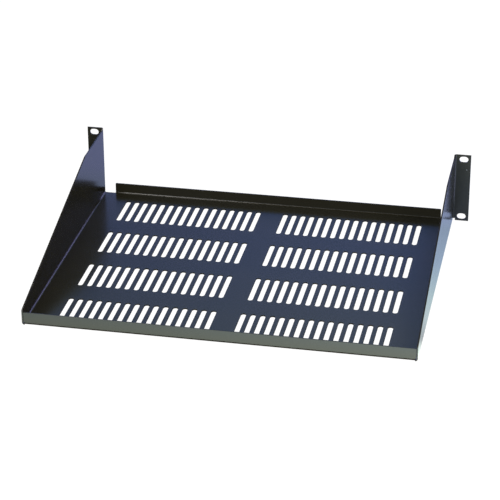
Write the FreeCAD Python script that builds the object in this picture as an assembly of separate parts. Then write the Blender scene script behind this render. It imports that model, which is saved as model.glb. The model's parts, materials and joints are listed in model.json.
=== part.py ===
"""Cantilever rack shelf: a vented tray folded from one sheet of steel.

Frame: +X to the right, +Y towards the rack ears, +Z up. The origin lies under
the middle of the tray, level with the underside of its floor.
"""
import FreeCAD, Part
import math
import os

# Sheet
sheet = 1.5
bend_inner = 1.5
bend_outer = bend_inner + sheet
relief_width = 1.0
nose_relief_width = 0.4

# Rack ears, for two units of a 19 inch rack
ear_span = 482.6
ear_width = 19.05
ear_height = 88.1
ear_lift = 0.8
ear_corner = 1.0
rack_slot_length = 10.8
rack_slot_width = 7.5
rack_slot_tip_inset = 8.75
rack_slot_end_inset = 5.95

# Tray, which fills the width between the ears
tray_depth = 362.0

# Side walls, level near the ears and tapered towards the free end
wall_drop = 2.3
wall_level_length = 87.5
wall_nose_height = 18.2
wall_knee_radius = 6.0
wall_nose_radius = 2.0
wall_ramp_length = 4.0
wall_ramp_radius = 3.0

# Lips at the two open ends of the floor
nose_lip_height = 15.4
nose_lip_gap = 0.4
back_lip_height = 13.9
back_lip_inset = 14.85
lip_corner = 1.0

# Vent slots: rows of two banks, either side of a plain strip in the middle
vent_slot_width = 6.0
vent_slot_length = 56.5
vent_pitch_x = 11.1125
vent_pitch_y = 88.9
vent_end_flats = 8
vent_bank_spacing = 34.2
vent_row_inset = 53.6
vent_side_margin = 30.0
vent_nose_margin = 8.0

# Faces and fold lines that the sizes above settle
tray_width = ear_span - 2 * ear_width
wall_outside = tray_width / 2
wall_inside = wall_outside - sheet
floor_side = wall_outside - bend_outer
nose_face = -tray_depth / 2
back_face = tray_depth / 2
nose_fold = nose_face + bend_outer
back_fold = back_face - bend_outer
ear_bottom = ear_lift
ear_top = ear_lift + ear_height
ear_tip = ear_span / 2
ear_fold = wall_outside + bend_inner
ear_relief_top = bend_outer + relief_width / 2
rack_slot_x = ear_tip - rack_slot_tip_inset
wall_height = ear_top - wall_drop
nose_lip_end = wall_inside - nose_lip_gap
nose_bend_end = floor_side - nose_relief_width
back_lip_end = wall_outside - back_lip_inset

# First and furthest places for the centre of a vent slot, and how many fit between
first_vent_x = vent_bank_spacing / 2
first_vent_y = back_face - vent_row_inset
last_vent_x = nose_bend_end - vent_side_margin - vent_slot_width / 2
last_vent_y = nose_fold + vent_nose_margin + vent_slot_length / 2
vents_per_bank = 1 + int((last_vent_x - first_vent_x) / vent_pitch_x)
vent_rows = 1 + int((first_vent_y - last_vent_y) / vent_pitch_y)

X_AXIS = FreeCAD.Vector(1, 0, 0)
Y_AXIS = FreeCAD.Vector(0, 1, 0)
Z_AXIS = FreeCAD.Vector(0, 0, 1)


def rounded_wire(corners, u_axis, v_axis, origin):
    """Closed outline through (u, v, radius) corners, with an arc at each radius."""
    shortest_edge = 0.001
    places = [origin + u_axis * u + v_axis * v for u, v, radius in corners]
    edges = []
    ends = []
    for index, (u, v, radius) in enumerate(corners):
        corner = places[index]
        to_last = (places[index - 1] - corner).normalize()
        to_next = (places[(index + 1) % len(places)] - corner).normalize()
        half_angle = to_last.getAngle(to_next) / 2
        setback = radius / math.tan(half_angle)
        first = corner + to_last * setback
        last = corner + to_next * setback
        if radius > 0:
            bisector = (to_last + to_next).normalize()
            middle = corner + bisector * (radius / math.sin(half_angle) - radius)
            edges.append(Part.Arc(first, middle, last).toShape())
        ends.append((first, last))
    for index, (first, last) in enumerate(ends):
        following = ends[(index + 1) % len(ends)][0]
        if last.distanceToPoint(following) > shortest_edge:
            edges.append(Part.LineSegment(last, following).toShape())
    return Part.Wire(Part.__sortEdges__(edges))


def plate(corners, u_axis, v_axis, origin, thickness, holes=()):
    """Flat area of sheet with an outline, holes and a thickness vector."""
    outline = rounded_wire(corners, u_axis, v_axis, origin)
    face = Part.makeFace([outline] + list(holes), "Part::FaceMakerBullseye")
    return face.extrude(thickness)


def bend(centre, from_axis, to_axis, sweep):
    """Quarter turn of sheet about a centre line, from one direction to another."""
    halfway = (from_axis + to_axis).normalize()
    inner_arc = Part.Arc(
        centre + from_axis * bend_inner,
        centre + halfway * bend_inner,
        centre + to_axis * bend_inner,
    )
    outer_arc = Part.Arc(
        centre + to_axis * bend_outer,
        centre + halfway * bend_outer,
        centre + from_axis * bend_outer,
    )
    first_end = Part.LineSegment(inner_arc.EndPoint, outer_arc.StartPoint)
    second_end = Part.LineSegment(outer_arc.EndPoint, inner_arc.StartPoint)
    ring = [inner_arc, first_end, outer_arc, second_end]
    wire = Part.Wire([curve.toShape() for curve in ring])
    return Part.Face(wire).extrude(sweep)


def rack_slot_wire(centre):
    """Outline of a level slot with round ends, for a rack screw."""
    radius = rack_slot_width / 2
    straight = X_AXIS * (rack_slot_length / 2 - radius)
    side = Z_AXIS * radius
    tip = X_AXIS * (rack_slot_length / 2)
    edges = [
        Part.LineSegment(centre - straight + side, centre + straight + side),
        Part.Arc(centre + straight + side, centre + tip, centre + straight - side),
        Part.LineSegment(centre + straight - side, centre - straight - side),
        Part.Arc(centre - straight - side, centre - tip, centre - straight + side),
    ]
    return Part.Wire([edge.toShape() for edge in edges])


def vent_wire(centre):
    """Vent slot outline. Its round ends are a few flats each, so many slots stay light."""
    radius = vent_slot_width / 2
    straight = vent_slot_length / 2 - radius
    corners = []
    for end in (1, -1):
        for step in range(vent_end_flats + 1):
            angle = math.pi * step / vent_end_flats
            along = end * (straight + radius * math.sin(angle))
            across = end * radius * math.cos(angle)
            corners.append((along, across, 0))
    return rounded_wire(corners, Y_AXIS, X_AXIS, centre)


def vent_wires():
    """Outlines of the vent slots on the floor's underside."""
    wires = []
    for row in range(vent_rows):
        y = first_vent_y - row * vent_pitch_y
        for column in range(vents_per_bank):
            x = first_vent_x + column * vent_pitch_x
            for side in (-1, 1):
                wires.append(vent_wire(FreeCAD.Vector(side * x, y, 0)))
    return wires


def make_floor():
    """Flat floor between the four folds, with the reliefs at the nose corners."""
    relief_end = nose_fold + nose_relief_width / 2
    corners = [
        (-floor_side, relief_end, 0),
        (-nose_bend_end, relief_end, 0),
        (-nose_bend_end, nose_fold, 0),
        (nose_bend_end, nose_fold, 0),
        (nose_bend_end, relief_end, 0),
        (floor_side, relief_end, 0),
        (floor_side, back_fold, 0),
        (-floor_side, back_fold, 0),
    ]
    underside = FreeCAD.Vector(0, 0, 0)
    return plate(corners, X_AXIS, Y_AXIS, underside, Z_AXIS * sheet, vent_wires())


def make_wall():
    """Right side wall and the fold that joins it to the floor."""
    knee = back_face - wall_level_length
    corners = [
        (nose_face, bend_outer, 0),
        (back_fold, bend_outer, 0),
        (back_fold, ear_top, 0),
        (back_fold - wall_ramp_length, wall_height, wall_ramp_radius),
        (knee, wall_height, wall_knee_radius),
        (nose_face, wall_nose_height, wall_nose_radius),
    ]
    outside = FreeCAD.Vector(wall_outside, 0, 0)
    wall = plate(corners, Y_AXIS, Z_AXIS, outside, X_AXIS * -sheet)
    fold_line = FreeCAD.Vector(floor_side, nose_face, bend_outer)
    fold = bend(fold_line, X_AXIS, Z_AXIS * -1, Y_AXIS * (back_fold - nose_face))
    return [wall, fold]


def make_ear():
    """Right rack ear with its two slots, and the fold that turns it off the wall."""
    relief_side = ear_fold + relief_width
    corners = [
        (ear_fold, ear_relief_top, 0),
        (relief_side, ear_relief_top, relief_width / 2),
        (relief_side, ear_bottom, 0),
        (ear_tip, ear_bottom, ear_corner),
        (ear_tip, ear_top, ear_corner),
        (ear_fold, ear_top, 0),
    ]
    face = FreeCAD.Vector(0, back_face, 0)
    holes = []
    for z in (ear_bottom + rack_slot_end_inset, ear_top - rack_slot_end_inset):
        holes.append(rack_slot_wire(FreeCAD.Vector(rack_slot_x, back_face, z)))
    ear = plate(corners, X_AXIS, Z_AXIS, face, Y_AXIS * -sheet, holes)
    fold_line = FreeCAD.Vector(ear_fold, back_fold, ear_relief_top)
    fold = bend(fold_line, X_AXIS * -1, Y_AXIS, Z_AXIS * (ear_top - ear_relief_top))
    return [ear, fold]


def make_nose_lip():
    """Stiffening lip across the free end, between the side walls."""
    step = bend_outer + nose_relief_width / 2
    corners = [
        (-nose_bend_end, bend_outer, 0),
        (nose_bend_end, bend_outer, 0),
        (nose_bend_end, step, 0),
        (nose_lip_end, step, 0),
        (nose_lip_end, nose_lip_height, lip_corner),
        (-nose_lip_end, nose_lip_height, lip_corner),
        (-nose_lip_end, step, 0),
        (-nose_bend_end, step, 0),
    ]
    face = FreeCAD.Vector(0, nose_face, 0)
    lip = plate(corners, X_AXIS, Z_AXIS, face, Y_AXIS * sheet)
    fold_line = FreeCAD.Vector(-nose_bend_end, nose_fold, bend_outer)
    fold = bend(fold_line, Y_AXIS * -1, Z_AXIS * -1, X_AXIS * (2 * nose_bend_end))
    return [lip, fold]


def make_back_lip():
    """Stiffening lip between the ears, shorter than the floor is wide."""
    corners = [
        (-back_lip_end, bend_outer, 0),
        (back_lip_end, bend_outer, 0),
        (back_lip_end, back_lip_height, lip_corner),
        (-back_lip_end, back_lip_height, lip_corner),
    ]
    face = FreeCAD.Vector(0, back_face, 0)
    lip = plate(corners, X_AXIS, Z_AXIS, face, Y_AXIS * -sheet)
    fold_line = FreeCAD.Vector(-back_lip_end, back_fold, bend_outer)
    fold = bend(fold_line, Y_AXIS, Z_AXIS * -1, X_AXIS * (2 * back_lip_end))
    return [lip, fold]


def make_shelf():
    """The folded sheet as one solid."""
    right_side = make_wall() + make_ear()
    middle = FreeCAD.Vector(0, 0, 0)
    left_side = [piece.mirror(middle, X_AXIS) for piece in right_side]
    areas = right_side + left_side + make_nose_lip() + make_back_lip()
    return make_floor().fuse(areas).removeSplitter()


shelf = make_shelf()
os.makedirs("parts", exist_ok=True)
shelf.exportStep("parts/shelf.step")
box = shelf.BoundBox
print("solids", len(shelf.Solids), "faces", len(shelf.Faces), "valid", shelf.isValid())
print("size", round(box.XLength, 2), round(box.YLength, 2), round(box.ZLength, 2))
print("volume", round(shelf.Volume / 1000, 1), "cm3")
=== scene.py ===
# %% [markdown]
# # A cantilever rack shelf
#
# The real shelf is one piece of steel. A blank is punched with rows of vent
# slots, folded on a press brake into a tray with two tall walls and two rack
# ears, and then powder coated near-black. This script models it in the same
# order: a flat floor with slots, the folds, the flanges, and at last the
# thickness of the sheet, its softened edges and its coat.

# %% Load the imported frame
import bmesh
import bpy
import json
import math
from mathutils import Matrix, Vector


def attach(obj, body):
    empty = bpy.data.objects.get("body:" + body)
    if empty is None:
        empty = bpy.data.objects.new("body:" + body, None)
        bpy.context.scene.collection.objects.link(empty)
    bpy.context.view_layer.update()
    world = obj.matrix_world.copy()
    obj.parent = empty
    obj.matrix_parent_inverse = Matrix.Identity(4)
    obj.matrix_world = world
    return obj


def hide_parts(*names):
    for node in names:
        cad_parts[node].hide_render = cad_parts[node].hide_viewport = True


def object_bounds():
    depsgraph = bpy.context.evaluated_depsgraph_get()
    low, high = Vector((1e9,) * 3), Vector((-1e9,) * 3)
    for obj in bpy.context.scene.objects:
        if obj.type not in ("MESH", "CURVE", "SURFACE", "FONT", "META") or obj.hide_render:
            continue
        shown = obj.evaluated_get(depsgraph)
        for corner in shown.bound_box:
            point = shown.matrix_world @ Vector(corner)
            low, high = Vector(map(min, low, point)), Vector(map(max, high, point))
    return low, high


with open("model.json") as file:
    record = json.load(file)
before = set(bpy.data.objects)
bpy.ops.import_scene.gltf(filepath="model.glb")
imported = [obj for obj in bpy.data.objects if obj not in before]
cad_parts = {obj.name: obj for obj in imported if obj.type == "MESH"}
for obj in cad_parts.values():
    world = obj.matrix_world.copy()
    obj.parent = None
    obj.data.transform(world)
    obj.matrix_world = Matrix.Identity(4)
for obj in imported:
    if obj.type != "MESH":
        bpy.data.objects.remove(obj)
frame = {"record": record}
cad_low, cad_high = [Vector(corner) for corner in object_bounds()]
print("CAD box", [round(side, 4) for side in cad_high - cad_low])

# %% [markdown]
# ## Sizes
#
# The frame gives the outer box and the rack slots. The few other sizes are
# those of a real folded shelf, in millimetres. Folded sheet has an inner and
# an outer bend radius, and they differ by the thickness, so every fold line
# lies one outer radius in from the face that it turns into.

# %% The sheet, its folds and the outer faces
MM = 0.001
sheet = 1.5 * MM
bend_inner = 1.5 * MM
bend_outer = bend_inner + sheet
relief_width = 1.0 * MM
nose_relief_width = 0.4 * MM

nose_face = cad_low.y
back_face = cad_high.y
nose_fold = nose_face + bend_outer
back_fold = back_face - bend_outer
wall_outside = 222.25 * MM
floor_side = wall_outside - bend_outer

floor_across = round(2 * floor_side / MM, 2)
floor_along = round((back_fold - nose_fold) / MM, 2)
print("floor between the folds", floor_across, "by", floor_along, "mm")

# %% The ears and the walls
ear_tip = cad_high.x
ear_top = cad_high.z
ear_bottom = 0.8 * MM
ear_face = back_face - sheet
ear_fold = wall_outside + bend_inner
ear_relief_side = ear_fold + relief_width
ear_relief_top = bend_outer + relief_width / 2

wall_drop = 2.3 * MM
wall_height = ear_top - wall_drop
wall_nose_height = 18.2 * MM
wall_level_length = 87.5 * MM
wall_ramp_length = 4.0 * MM
wall_knee = back_face - wall_level_length
print("ears", round((ear_top - ear_bottom) / MM, 1), "mm high")
print("walls", round(wall_height / MM, 1), "to", round(wall_nose_height / MM, 1), "mm high")

# %% The lips
nose_bend_end = floor_side - nose_relief_width
nose_lip_gap = 0.4 * MM
nose_lip_end = wall_outside - sheet - nose_lip_gap
nose_lip_height = 15.4 * MM
back_lip_inset = 14.85 * MM
back_lip_end = wall_outside - back_lip_inset
back_lip_height = 13.9 * MM
print("nose lip", round(2 * nose_lip_end / MM, 1), "mm long")
print("back lip", round(2 * back_lip_end / MM, 1), "mm long")

# %% The vent slots: rows of two banks, one bank in each half
vent_length = 56.5 * MM
vent_width = 6.0 * MM
vents_per_bank = 16
vent_rows = 4
first_vent, vent_pitch = 17.1, 11.1125
first_row, row_pitch = 53.6, 88.9
vent_xs = [(first_vent + vent_pitch * column) * MM for column in range(vents_per_bank)]
vent_ys = [back_face - (first_row + row_pitch * row) * MM for row in range(vent_rows)]
print(2 * len(vent_xs) * len(vent_ys), "vent slots")

# %% The rack slots, from the part's own mounts
mounts = frame["record"]["mounts"]
rack_mount = next(mount for mount in mounts if mount["name"] == "rack_slots")
rack_sizes = rack_mount["dims"]
rack_slot_length = rack_sizes["slot_length_mm"] * MM
rack_slot_width = 2 * rack_sizes["hole_r_mm"] * MM
rack_slot_x = rack_sizes["spacing_x_mm"] / 2 * MM
rack_slot_zs = [
    rack_mount["pos_m"][2] + side * rack_sizes["spacing_y_mm"] / 2 * MM
    for side in (-1, 1)
]
print(2 * len(rack_slot_zs), "rack slots", round(rack_slot_length / MM, 2), "mm long")

# %% [markdown]
# ## A flat grid with slots
#
# A slot with round ends could be cut with a boolean, but that leaves long,
# thin faces, and a bevel along such an edge goes wrong. Here the slots are
# part of a grid from the start. The grid gets a line at each side of a slot
# and a few more between them. The faces inside the slot are deleted, and the
# points of its ends slide out onto a half circle. Every point of the rim then
# has one clean edge leading away from it.

# %% Grid helpers
NEAR = 0.001 * MM
END_SIDES = 8


def near(first, second):
    """Whether two lengths are the same, apart from rounding."""
    return abs(first - second) < NEAR


def slot_lines(centre, width):
    """Grid lines across one slot: its two sides and the points of its ends."""
    return [
        centre - width / 2 * math.cos(math.pi * step / END_SIDES)
        for step in range(END_SIDES + 1)
    ]


def flat_grid(bm, across, along):
    """Grid on the XY plane with its lines at the given places; returns its points."""
    columns = len(across) - 1
    rows = len(along) - 1
    made = bmesh.ops.create_grid(bm, x_segments=columns, y_segments=rows, size=1)
    for vert in made["verts"]:
        column = round((vert.co.x + 1) / 2 * columns)
        row = round((vert.co.y + 1) / 2 * rows)
        vert.co = (across[column], along[row], 0)
    return made["verts"]


def open_slots(bm, verts, centres, length, width):
    """Deletes the faces inside each slot and rounds its two ends."""
    radius = width / 2
    straight = length / 2 - radius
    middles = {
        face: face.calc_center_median() for vert in verts for face in vert.link_faces
    }
    inside = []
    for x, y in centres:
        inside += [
            face for face, middle in middles.items()
            if abs(middle.x - x) < radius and abs(middle.y - y) < straight
        ]
        for end in (-1, 1):
            for vert in verts:
                reach = vert.co.x - x
                if near(vert.co.y, y + end * straight) and abs(reach) < radius:
                    vert.co.y += end * math.sqrt(radius ** 2 - reach ** 2)
    bmesh.ops.delete(bm, geom=inside, context="FACES")


# %% [markdown]
# ## The floor
#
# The shelf is the same on both sides, so only the right half is modelled, and
# a mirror makes the other. What is modelled is the sheet's outer skin: the
# underside of the floor, the outside of the walls and so on.

# %% Floor of the right half
relief_end = nose_fold + nose_relief_width / 2
columns = [0, back_lip_end, nose_bend_end, floor_side]
for x in vent_xs:
    columns += slot_lines(x, vent_width)
vent_straight = (vent_length - vent_width) / 2
rows = [nose_fold, relief_end, back_fold]
for y in vent_ys:
    rows += [y - vent_straight, y + vent_straight]

shelf = bmesh.new()
floor_points = flat_grid(shelf, sorted(columns), sorted(rows))
vent_centres = [(x, y) for x in vent_xs for y in vent_ys]
open_slots(shelf, floor_points, vent_centres, vent_length, vent_width)
print("floor", len(shelf.faces), "faces round", len(vent_centres), "slots")

# %% [markdown]
# ## The folds
#
# A press brake turns the sheet about a line, and the spin operator does just
# that: it sweeps an edge about an axis in small steps. The corner of the floor
# at the nose stays open, because the real blank has a relief cut there so that
# the two folds don't tear the sheet where they meet.

# %% Fold helpers
FOLD_STEPS = 8


def edges_where(bm, test):
    """Edges whose two points both pass a test on their place."""
    return [edge for edge in bm.edges if all(test(vert.co) for vert in edge.verts)]


def fold(bm, edges, centre, axis, angle):
    """Sweeps edges about a fold line by an angle; returns the last edges."""
    verts = list(dict.fromkeys(vert for edge in edges for vert in edge.verts))
    swept = bmesh.ops.spin(
        bm, geom=verts + edges, cent=centre, axis=axis,
        angle=angle, steps=FOLD_STEPS, use_duplicate=False,
    )
    return [part for part in swept["geom_last"] if isinstance(part, bmesh.types.BMEdge)]


def shift(bm, edges, step):
    """Extrudes edges by a step; returns the new edges."""
    made = bmesh.ops.extrude_edge_only(bm, edges=edges)["geom"]
    verts = [part for part in made if isinstance(part, bmesh.types.BMVert)]
    bmesh.ops.translate(bm, verts=verts, vec=step)
    return edges_where(bm, lambda place: any(place == vert.co for vert in verts))


# %% Open the relief at the nose corner
relief_faces = []
for face in shelf.faces:
    middle = face.calc_center_median()
    if middle.x > nose_bend_end and middle.y < relief_end:
        relief_faces.append(face)
bmesh.ops.delete(shelf, geom=relief_faces, context="FACES")
print("relief", round(nose_relief_width / MM, 2), "mm wide, faces out", len(relief_faces))

# %% Fold up the side, the nose and the back
quarter = math.pi / 2
side_edges = edges_where(
    shelf, lambda place: near(place.x, floor_side) and place.y > relief_end - NEAR
)
side_top = fold(shelf, side_edges, (floor_side, 0, bend_outer), (0, 1, 0), -quarter)

nose_edges = edges_where(
    shelf, lambda place: near(place.y, nose_fold) and place.z < NEAR
)
nose_top = fold(shelf, nose_edges, (0, nose_fold, bend_outer), (1, 0, 0), -quarter)

back_edges = edges_where(
    shelf, lambda place: (
        near(place.y, back_fold) and place.z < NEAR and place.x < back_lip_end + NEAR
    )
)
back_top = fold(shelf, back_edges, (0, back_fold, bend_outer), (1, 0, 0), quarter)
print("folds", len(side_top), len(nose_top), len(back_top), "edges long")

# %% Carry the side fold on past the relief to the nose
fold_end = edges_where(
    shelf, lambda place: near(place.y, relief_end) and place.x > floor_side - NEAR
)
shift(shelf, fold_end, (0, nose_face - relief_end, 0))
fold_reach = min(vert.co.y for vert in shelf.verts)
print("side fold reaches y", round(fold_reach / MM, 2), "mm")

# %% [markdown]
# ## The ear
#
# The ear is a second slotted grid. It is drawn flat with its height along X,
# turned upright, and then folded back onto the wall's line about a fold of its
# own. This fold turns the other way, so the outer skin follows its inner radius.

# %% Draw the ear flat
rack_straight = (rack_slot_length - rack_slot_width) / 2
heights = [ear_bottom, ear_top]
for z in rack_slot_zs:
    heights += slot_lines(z, rack_slot_width)
reaches = [
    ear_relief_side, rack_slot_x - rack_straight, rack_slot_x + rack_straight, ear_tip,
]
ear_points = flat_grid(shelf, sorted(heights), reaches)
rack_centres = [(z, rack_slot_x) for z in rack_slot_zs]
open_slots(shelf, ear_points, rack_centres, rack_slot_length, rack_slot_width)
print("ear", len(ear_points), "points round", len(rack_centres), "slots")

# %% Place the relief's top corner and stand the ear up
inner_points = [vert for vert in ear_points if near(vert.co.y, ear_relief_side)]
relief_point = min(inner_points, key=lambda vert: abs(vert.co.x - ear_relief_top))
relief_point.co.x = ear_relief_top
upright = Matrix((
    (0, 1, 0, 0),
    (0, 0, 1, ear_face),
    (1, 0, 0, 0),
    (0, 0, 0, 1),
))
bmesh.ops.transform(shelf, matrix=upright, verts=ear_points)
print("ear stands from", round(min(vert.co.z for vert in ear_points) / MM, 2), "mm")

# %% Fold the ear back to the wall
ear_inner = edges_where(
    shelf, lambda place: (
        near(place.y, ear_face) and near(place.x, ear_relief_side)
        and place.z > ear_relief_top - NEAR
    )
)
ear_line = shift(shelf, ear_inner, (-relief_width, 0, 0))
wall_back = fold(shelf, ear_line, (ear_fold, back_fold, 0), (0, 0, 1), quarter)
print("ear fold", len(wall_back), "edges high")

# %% [markdown]
# ## The flanges
#
# The wall and the two lips are flat, so each is one face with many corners. A
# few new points are joined into a path from one end of the folds to the other,
# and edgeloop_fill closes the loop. A bevel of single points then rounds their
# corners. Its offset is the length cut from each edge, which for a radius is
# the radius times the tangent of half the turn.

# %% Flange helpers
CORNER_STEPS = 6


def flange(bm, fold_edges, first, last, places):
    """Fills a flat face between fold edges and a path of new corners; returns the corners."""
    path = [first] + [bm.verts.new(place) for place in places] + [last]
    loop = fold_edges + [bm.edges.new(pair) for pair in zip(path, path[1:])]
    bmesh.ops.edgeloop_fill(bm, edges=loop)
    return path[1:-1]


def point_at(bm, place):
    """The mesh point nearest a place."""
    return min(bm.verts, key=lambda vert: (vert.co - Vector(place)).length)


def round_corner(bm, vert, radius):
    """Rounds one corner of a flange."""
    ways = [(edge.other_vert(vert).co - vert.co).normalized() for edge in vert.link_edges]
    turn = math.pi - ways[0].angle(ways[1])
    bmesh.ops.bevel(
        bm, geom=[vert], offset=radius * math.tan(turn / 2), offset_type="OFFSET",
        segments=CORNER_STEPS, profile=0.5, affect="VERTICES", material=-1,
    )


# %% The wall
ramp_radius, knee_radius, nose_radius = 3 * MM, 6 * MM, 2 * MM
wall_foot = edges_where(
    shelf, lambda place: near(place.x, wall_outside) and near(place.z, bend_outer)
)
heel = point_at(shelf, (wall_outside, back_fold, bend_outer))
relief = point_at(shelf, (wall_outside, back_fold, ear_relief_top))
wall_foot.append(shelf.edges.new((heel, relief)))
ramp, knee, nose = flange(
    shelf, wall_foot + wall_back,
    point_at(shelf, (wall_outside, back_fold, ear_top)),
    point_at(shelf, (wall_outside, nose_face, bend_outer)),
    [
        (wall_outside, back_fold - wall_ramp_length, wall_height),
        (wall_outside, wall_knee, wall_height),
        (wall_outside, nose_face, wall_nose_height),
    ],
)
round_corner(shelf, ramp, ramp_radius)
round_corner(shelf, knee, knee_radius)
round_corner(shelf, nose, nose_radius)
print("wall on", len(wall_foot), "edges of the floor's fold")

# %% The lip at the nose, which is wider above the fold's relief
lip_radius = 1 * MM
lip_step = bend_outer + nose_relief_width / 2
nose_lip = flange(
    shelf, nose_top,
    point_at(shelf, (nose_bend_end, nose_face, bend_outer)),
    point_at(shelf, (0, nose_face, bend_outer)),
    [
        (nose_bend_end, nose_face, lip_step),
        (nose_lip_end, nose_face, lip_step),
        (nose_lip_end, nose_face, nose_lip_height),
        (0, nose_face, nose_lip_height),
    ],
)
round_corner(shelf, nose_lip[2], lip_radius)
print("nose lip", round(nose_lip_height / MM, 1), "mm high")

# %% The lip between the ears
back_lip = flange(
    shelf, back_top,
    point_at(shelf, (back_lip_end, back_face, bend_outer)),
    point_at(shelf, (0, back_face, bend_outer)),
    [(back_lip_end, back_face, back_lip_height), (0, back_face, back_lip_height)],
)
round_corner(shelf, back_lip[0], lip_radius)
print("back lip", round(back_lip_height / MM, 1), "mm high")

# %% [markdown]
# ## The whole skin
#
# The mirror copies the half across, points on the middle line are joined, and
# all faces are turned outwards. Spin leaves its edges and faces in an order
# that changes from run to run, so they are sorted along a slanted line, on
# which no two lie at the same place. Then every run gives the same mesh.

# %% Mirror the half and turn the skin outwards
half = list(shelf.verts) + list(shelf.edges) + list(shelf.faces)
bmesh.ops.mirror(shelf, geom=half, matrix=Matrix(), merge_dist=NEAR, axis="X")
bmesh.ops.remove_doubles(shelf, verts=shelf.verts, dist=NEAR)
bmesh.ops.recalc_face_normals(shelf, faces=shelf.faces)
under = min(shelf.faces, key=lambda face: face.calc_center_median().length)
if under.normal.z > 0:
    bmesh.ops.reverse_faces(shelf, faces=shelf.faces)
open_edges = [edge for edge in shelf.edges if len(edge.link_faces) != 2]
print("skin", len(shelf.faces), "faces and", len(open_edges), "open edges")
print("floor looks", round(under.normal.z))

# %% Put the edges and faces in order
slant = Vector((1, 0.618, 0.271))
shelf.edges.sort(key=lambda edge: (edge.verts[0].co + edge.verts[1].co).dot(slant))
shelf.faces.sort(key=lambda face: face.calc_center_median().dot(slant))
print("sorted", len(shelf.edges), "edges and", len(shelf.faces), "faces")

# %% Make the skin an object
mesh = bpy.data.meshes.new("folded_sheet")
shelf.to_mesh(mesh)
shelf.free()
mesh.polygons.foreach_set("use_smooth", [True] * len(mesh.polygons))
folded_sheet = bpy.data.objects.new("folded_sheet", mesh)
bpy.context.scene.collection.objects.link(folded_sheet)
print("mesh", len(mesh.vertices), "points")

# %% [markdown]
# ## Thickness and edges
#
# Solidify grows the sheet inwards from its outer skin, evenly round the folds.
# Powder builds up on a cut edge and rounds it, and that thin round catches the
# light in the photo, so every sharp edge gets a narrow bevel. The weighted
# normals keep the flat areas flat beside it.

# %% Solidify, bevel and weighted normals
coat_round = 0.15 * MM
sharp_angle = math.radians(50)

thickness = folded_sheet.modifiers.new("sheet_thickness", "SOLIDIFY")
thickness.thickness = sheet
thickness.offset = -1
thickness.use_even_offset = True
thickness.use_quality_normals = True

coat_edge = folded_sheet.modifiers.new("coated_edges", "BEVEL")
coat_edge.width = coat_round
coat_edge.segments = 2
coat_edge.limit_method = "ANGLE"
coat_edge.angle_limit = sharp_angle
coat_edge.use_clamp_overlap = False

flats = folded_sheet.modifiers.new("flat_areas", "WEIGHTED_NORMAL")
flats.weight = 100
flats.keep_sharp = False

# %% Tie the sheet to the frame
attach(folded_sheet, "root")
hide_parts("shelf")
low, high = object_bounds()
print("visual box", [round(b - a, 4) for a, b in zip(low, high)])

# %% [markdown]
# ## The powder coat
#
# A semi-gloss powder coat is a thin skin of plastic, so it is a plain
# dielectric and not a metal. Its own tone is a warm near-black, as in the
# darkest parts of the photo, and the blue that shows on it is mirrored. It
# mirrors more, the flatter it is seen. Tone and gloss drift a little from place
# to place, and melted powder has a fine orange peel. All of this comes from
# noise on Object coordinates, so that it stays with the sheet.

# %% Material helpers


def remapped(tree, value, source, target):
    """A value carried over from one range to another, and kept within it."""
    node = tree.nodes.new("ShaderNodeMapRange")
    names = ("From Min", "From Max", "To Min", "To Max")
    for name, limit in zip(names, source + target):
        node.inputs[name].default_value = limit
    tree.links.new(value, node.inputs["Value"])
    return node.outputs["Result"]


def noise(tree, place, scale, detail):
    """Noise from 0 to 1 that stays with the surface."""
    node = tree.nodes.new("ShaderNodeTexNoise")
    node.inputs["Scale"].default_value = scale
    node.inputs["Detail"].default_value = detail
    tree.links.new(place, node.inputs["Vector"])
    return node.outputs["Fac"]


def shaded_by(tree, value, stops):
    """Colours that blend from stop to stop as a value runs from 0 to 1."""
    node = tree.nodes.new("ShaderNodeValToRGB")
    elements = node.color_ramp.elements
    while len(elements) < len(stops):
        elements.new(0.5)
    for element, (where, colour) in zip(elements, stops):
        element.position = where
        element.color = colour
    tree.links.new(value, node.inputs["Fac"])
    return node.outputs["Color"]


# %% The coat and its tone
tone_low = (0.0175, 0.0159, 0.0088, 1)
tone_high = (0.0199, 0.0180, 0.0103, 1)

coat = bpy.data.materials.new("near_black_powder_coat")
coat.use_nodes = True
tree = coat.node_tree
shader = tree.nodes["Principled BSDF"]
shader.inputs["Metallic"].default_value = 0.0
shader.inputs["IOR"].default_value = 1.5
object_place = tree.nodes.new("ShaderNodeTexCoord").outputs["Object"]
drift = noise(tree, object_place, scale=14.0, detail=3.0)
tone = shaded_by(tree, drift, [(0.3, tone_low), (0.7, tone_high)])
print("coat tone", tone_low[:3], "to", tone_high[:3])

# %% [markdown]
# One small lighter spot sits on the face of the right ear. The distance
# from its middle gives it a soft rim, with no need of a decal.

# %% A lighter spot on the right ear
spot_place = (236.5 * MM, ear_face, 69.5 * MM)
spot_core, spot_rim = 0.4 * MM, 1.0 * MM
spot_colour = (0.2, 0.22, 0.26, 1)

# A small round spot of lighter colour on the right ear's face, mixed into the coat's tone.
away = tree.nodes.new("ShaderNodeVectorMath")
away.operation = "DISTANCE"
away.inputs[1].default_value = spot_place
tree.links.new(object_place, away.inputs[0])
spot_share = remapped(tree, away.outputs["Value"], (spot_core, spot_rim), (1.0, 0.0))
spotted = tree.nodes.new("ShaderNodeMix")
spotted.data_type = "RGBA"
spotted.inputs["B"].default_value = spot_colour
tree.links.new(spot_share, spotted.inputs["Factor"])
tree.links.new(tone, spotted.inputs["A"])
tree.links.new(spotted.outputs["Result"], shader.inputs["Base Color"])
print("lighter_spot", round(2 * spot_rim / MM, 1), "mm across")

# %% Gloss and orange peel
gloss_range = (0.19, 0.24)
peel_depth = 0.02 * MM

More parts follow.
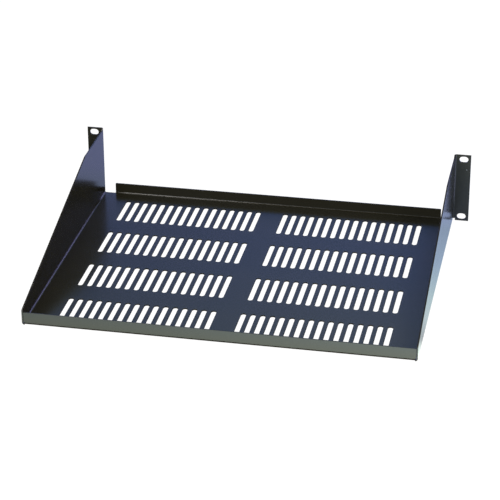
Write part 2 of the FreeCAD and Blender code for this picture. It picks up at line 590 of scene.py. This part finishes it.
gloss = remapped(tree, drift, (0.0, 1.0), gloss_range)
tree.links.new(gloss, shader.inputs["Roughness"])
peel = noise(tree, object_place, scale=900.0, detail=1.0)
bump = tree.nodes.new("ShaderNodeBump")
bump.inputs["Strength"].default_value = 0.15
bump.inputs["Distance"].default_value = peel_depth
tree.links.new(peel, bump.inputs["Height"])
tree.links.new(bump.outputs["Normal"], shader.inputs["Normal"])
folded_sheet.data.materials.append(coat)
print("coat roughness", gloss_range, "in", len(tree.nodes), "nodes")

# %% [markdown]
# ## The stage
#
# The photo is cut out on pure white. The floor and the world show white to the
# camera and in reflections, and the floor still takes a faint shadow. To all
# other light they are a plain matt floor and a grey sky.

# %% Stage helpers


def seen_directly(tree):
    """1 for camera, glossy and transmission rays, else 0."""
    path = tree.nodes.new("ShaderNodeLightPath")
    total = path.outputs["Is Camera Ray"]
    for name in ("Is Glossy Ray", "Is Transmission Ray"):
        larger = tree.nodes.new("ShaderNodeMath")
        larger.operation = "MAXIMUM"
        tree.links.new(total, larger.inputs[0])
        tree.links.new(path.outputs[name], larger.inputs[1])
        total = larger.outputs[0]
    return total


def stage_piece(name, bm):
    """Turns a bmesh into a piece of the stage."""
    mesh = bpy.data.meshes.new(name)
    bm.to_mesh(mesh)
    bm.free()
    piece = bpy.data.objects.new(name, mesh)
    bpy.context.scene.collection.objects.link(piece)
    return piece


def flat_card(name, low, high, height):
    """A level card between two corners, at a height."""
    bm = bmesh.new()
    places = [(low[0], low[1]), (high[0], low[1]), (high[0], high[1]), (low[0], high[1])]
    bm.faces.new([bm.verts.new((x, y, height)) for x, y in places])
    return stage_piece(name, bm)


def matt(tree, grey):
    """A matt shader of one grey."""
    node = tree.nodes.new("ShaderNodeBsdfDiffuse")
    node.inputs["Color"].default_value = (grey, grey, grey, 1)
    return node.outputs[0]


# %% White floor that keeps a faint shadow
floor_reach = 6.0
floor_level = -0.2 * MM
paper_grey, shadow_grey = 0.8, 0.15
white_glow = 0.96

stage_floor = flat_card(
    "floor", (-floor_reach, -floor_reach), (floor_reach, floor_reach), floor_level
)
paper = bpy.data.materials.new("white_paper")
paper.use_nodes = True
tree = paper.node_tree
tree.nodes.clear()
glow = tree.nodes.new("ShaderNodeEmission")
glow.inputs["Strength"].default_value = white_glow
seen = tree.nodes.new("ShaderNodeAddShader")
tree.links.new(matt(tree, shadow_grey), seen.inputs[0])
tree.links.new(glow.outputs[0], seen.inputs[1])
choice = tree.nodes.new("ShaderNodeMixShader")
tree.links.new(seen_directly(tree), choice.inputs[0])
tree.links.new(matt(tree, paper_grey), choice.inputs[1])
tree.links.new(seen.outputs[0], choice.inputs[2])
output = tree.nodes.new("ShaderNodeOutputMaterial")
tree.links.new(choice.outputs[0], output.inputs["Surface"])
stage_floor.data.materials.append(paper)
print("floor", 2 * floor_reach, "m wide, seen at", white_glow)

# %% World: white to look at, a plain grey light
world_light, world_seen = 0.45, 1.0

world = bpy.data.worlds.new("studio")
world.use_nodes = True
bpy.context.scene.world = world
tree = world.node_tree
background = tree.nodes["Background"]
background.inputs["Color"].default_value = (1, 1, 1, 1)
strength = remapped(tree, seen_directly(tree), (0.0, 1.0), (world_light, world_seen))
tree.links.new(strength, background.inputs["Strength"])
print("world lights at", world_light, "and is seen at", world_seen)

# %% [markdown]
# ## What the coat mirrors
#
# A near-black coat is mostly seen by what it mirrors, and the photo tells what
# that was. The lip at the free end is bright, so the ground in front of it was.
# The tray is blue, so a cool wall stood behind. The cut edges that look up are
# dark, so the ceiling was too, apart from a strip that glints in a fold.
#
# Lamps could make such reflections too, but they would also light the coat
# unevenly. So these surroundings are cards that glow and that only reflections
# show. Their colours run in stops along one axis, in metres.

# %% Cards that show only in reflections
RAMP_LENGTH = 2.0
BRIGHTEST = 20.0


def reflected_only(piece, axis, start, stops, rightward=0.0):
    """Shows a stage piece in reflections alone, glowing in colours along an axis.

    The stops are places on the axis with their colours, and start is where the
    ramp begins. Rightward is how much brighter it gets for each metre along X.
    """
    piece.visible_camera = False
    piece.visible_diffuse = False
    piece.visible_shadow = False
    material = bpy.data.materials.new(piece.name)
    material.use_nodes = True
    tree = material.node_tree
    tree.nodes.clear()
    place = tree.nodes.new("ShaderNodeTexCoord").outputs["Object"]
    split = tree.nodes.new("ShaderNodeSeparateXYZ")
    tree.links.new(place, split.inputs[0])
    along = remapped(tree, split.outputs[axis], (start, start + RAMP_LENGTH), (0.0, 1.0))
    colours = shaded_by(tree, along, [
        ((where - start) / RAMP_LENGTH, [level / BRIGHTEST for level in colour] + [1])
        for where, colour in stops
    ])
    strength = tree.nodes.new("ShaderNodeMath")
    strength.operation = "MULTIPLY_ADD"
    strength.inputs[1].default_value = rightward * BRIGHTEST
    strength.inputs[2].default_value = BRIGHTEST
    tree.links.new(split.outputs["X"], strength.inputs[0])
    emission = tree.nodes.new("ShaderNodeEmission")
    tree.links.new(strength.outputs[0], emission.inputs["Strength"])
    tree.links.new(colours, emission.inputs["Color"])
    output = tree.nodes.new("ShaderNodeOutputMaterial")
    tree.links.new(emission.outputs[0], output.inputs["Surface"])
    piece.data.materials.append(material)
    print(piece.name, "shows in reflections only")


def one_colour(piece, colour):
    """Shows a stage piece in reflections alone, glowing in a single colour."""
    reflected_only(piece, "Z", 0.0, [(0.0, colour), (1.0, colour)])


# %% The walls of the room, cool behind the shelf and greyer in front
WALL_STEPS = 32
room_radius = 2.0
room_height = 1.6


def round_wall(name, start, turn):
    """A wall that curves about the object, from a direction over an angle."""
    bm = bmesh.new()
    ends = [bm.verts.new((start[0], start[1], z)) for z in (0, room_height)]
    upright_edge = bm.edges.new(ends)
    bmesh.ops.spin(
        bm, geom=ends + [upright_edge], cent=(0, 0, 0), axis=(0, 0, 1),
        angle=turn, steps=WALL_STEPS, use_duplicate=False,
    )
    return stage_piece(name, bm)


reflected_only(round_wall("cool_wall", (room_radius, 0), math.pi), "Z", 0.0, [
    (0.0, (0.60, 0.60, 1.20)),
    (0.3, (1.75, 1.8, 4.1)),
    (0.6, (0.50, 0.54, 0.75)),
    (0.85, (0.16, 0.33, 0.93)),
    (1.05, (0.17, 0.37, 1.03)),
    (1.2, (0.44, 0.67, 1.04)),
    (1.45, (0.80, 1.00, 0.98)),
], rightward=0.4)
reflected_only(round_wall("front_wall", (-room_radius, 0), math.pi), "Z", 0.0, [
    (0.0, (0.30, 0.32, 0.36)),
    (0.9, (0.32, 0.44, 0.68)),
], rightward=-0.5)

# %% The dark ceiling, and a dark panel before the cool wall
BLACK = (0, 0, 0)
room_low = (-room_radius, -room_radius)
room_high = (room_radius, room_radius)

ceiling = flat_card("dark_ceiling", room_low, room_high, room_height)
reflected_only(ceiling, "Y", -1.0, [(-0.7, (0.2, 0.18, 0.15)), (0.1, BLACK)])

panel_y = 1.5
panel_left, panel_right, panel_bottom = 0.08, 1.2, 0.5
bm = bmesh.new()
bm.faces.new([
    bm.verts.new(place) for place in (
        (panel_left, panel_y, panel_bottom),
        (panel_right, panel_y, panel_bottom),
        (panel_right, panel_y, room_height),
        (panel_left, panel_y, room_height),
    )
])
one_colour(stage_piece("dark_panel", bm), BLACK)

# %% The ground, bright in front of the free end
ground_level = -0.1 * MM
ground = flat_card("bright_ground", room_low, room_high, ground_level)
reflected_only(ground, "Y", -1.0, [
    (-0.31, (0.5, 0.56, 0.62)),
    (-0.25, (2.0, 2.8, 3.4)),
    (-0.19, (2.6, 3.02, 2.75)),
    (-0.13, (0.64, 0.70, 0.74)),
    (-0.08, (0.82, 0.98, 1.04)),
    (-0.03, (0.70, 0.91, 0.99)),
    (0.06, (0.49, 0.65, 0.88)),
    (0.15, (0.39, 0.51, 0.70)),
    (0.26, (0.45, 0.52, 0.97)),
], rightward=1.1)

# %% The shelf's shadow on the ground, under it and to its left
shadow_level = -0.05 * MM
shadow_reach = 15 * MM
contact_low = (-wall_outside, nose_face - bend_outer)
contact_high = (wall_outside, back_face + shadow_reach)
one_colour(flat_card("contact_shadow", contact_low, contact_high, shadow_level), BLACK)

left_low = (-room_radius, nose_face / 2)
left_high = (-wall_outside, room_radius)
one_colour(flat_card("shadow_side", left_low, left_high, shadow_level), (0.05, 0.07, 0.1))

# %% A brighter patch of ground beside the right ear, and the skylight
side_level = -0.04 * MM
side_card = flat_card("side_ground", (0.28, 0.05), (0.5, 0.26), side_level)
one_colour(side_card, (1.5, 1.7, 2.7))

skylight_height = 1.55
skylight = flat_card("skylight", (-0.68, -1.9), (-0.42, 0.5), skylight_height)
one_colour(skylight, (8, 7.7, 7.4))

# %% [markdown]
# ## Light
#
# Two large soft lamps, one in front and one high on the right, and the grey
# sky light the coat at a plain level. The lamps are hidden from reflections,
# because the photo shows no highlight of theirs in the gloss.

# %% Lamps
lamp_size = 0.8
lamp_colour = (1.0, 0.97, 0.88)


def soft_lamp(name, place, power):
    """A square area lamp at a place, aimed at the shelf."""
    data = bpy.data.lights.new(name, "AREA")
    data.shape = "SQUARE"
    data.size = lamp_size
    data.color = lamp_colour
    data.energy = power
    lamp = bpy.data.objects.new(name, data)
    bpy.context.scene.collection.objects.link(lamp)
    turn = (-Vector(place)).to_track_quat("-Z", "Y")
    lamp.matrix_world = Matrix.Translation(place) @ turn.to_matrix().to_4x4()
    lamp.visible_glossy = False
    print("lamp", name, power, "W")


soft_lamp("front", (-0.05, -1.5, 0.6), 18)
soft_lamp("right", (1.3, -0.1, 1.5), 13)

# %% [markdown]
# ## Camera
#
# The camera looks down at the free end from the right, from far away through a
# long lens, as in the photo. Its place and lens were worked out from the slots:
# the rack slots have standard spacings and the vent slots a regular pitch, so
# their places in the photo settle the view.

# %% Camera
view_azimuth = math.radians(11.186)
view_elevation = math.radians(26.324)
view_roll = math.radians(-0.147)
view_place = Vector((0.41271, -2.07642, 1.07317))

camera_data = bpy.data.cameras.new("camera")
camera_data.sensor_width = 36.0
camera_data.lens = 145.07
camera = bpy.data.objects.new("camera", camera_data)
bpy.context.scene.collection.objects.link(camera)
camera.matrix_world = (
    Matrix.Translation(view_place)
    @ Matrix.Rotation(view_azimuth, 4, "Z")
    @ Matrix.Rotation(math.pi / 2 - view_elevation, 4, "X")
    @ Matrix.Rotation(view_roll, 4, "Z")
)
bpy.context.scene.camera = camera
bpy.context.scene.view_settings.view_transform = "Standard"
print("camera", round(view_place.length, 2), "m away")
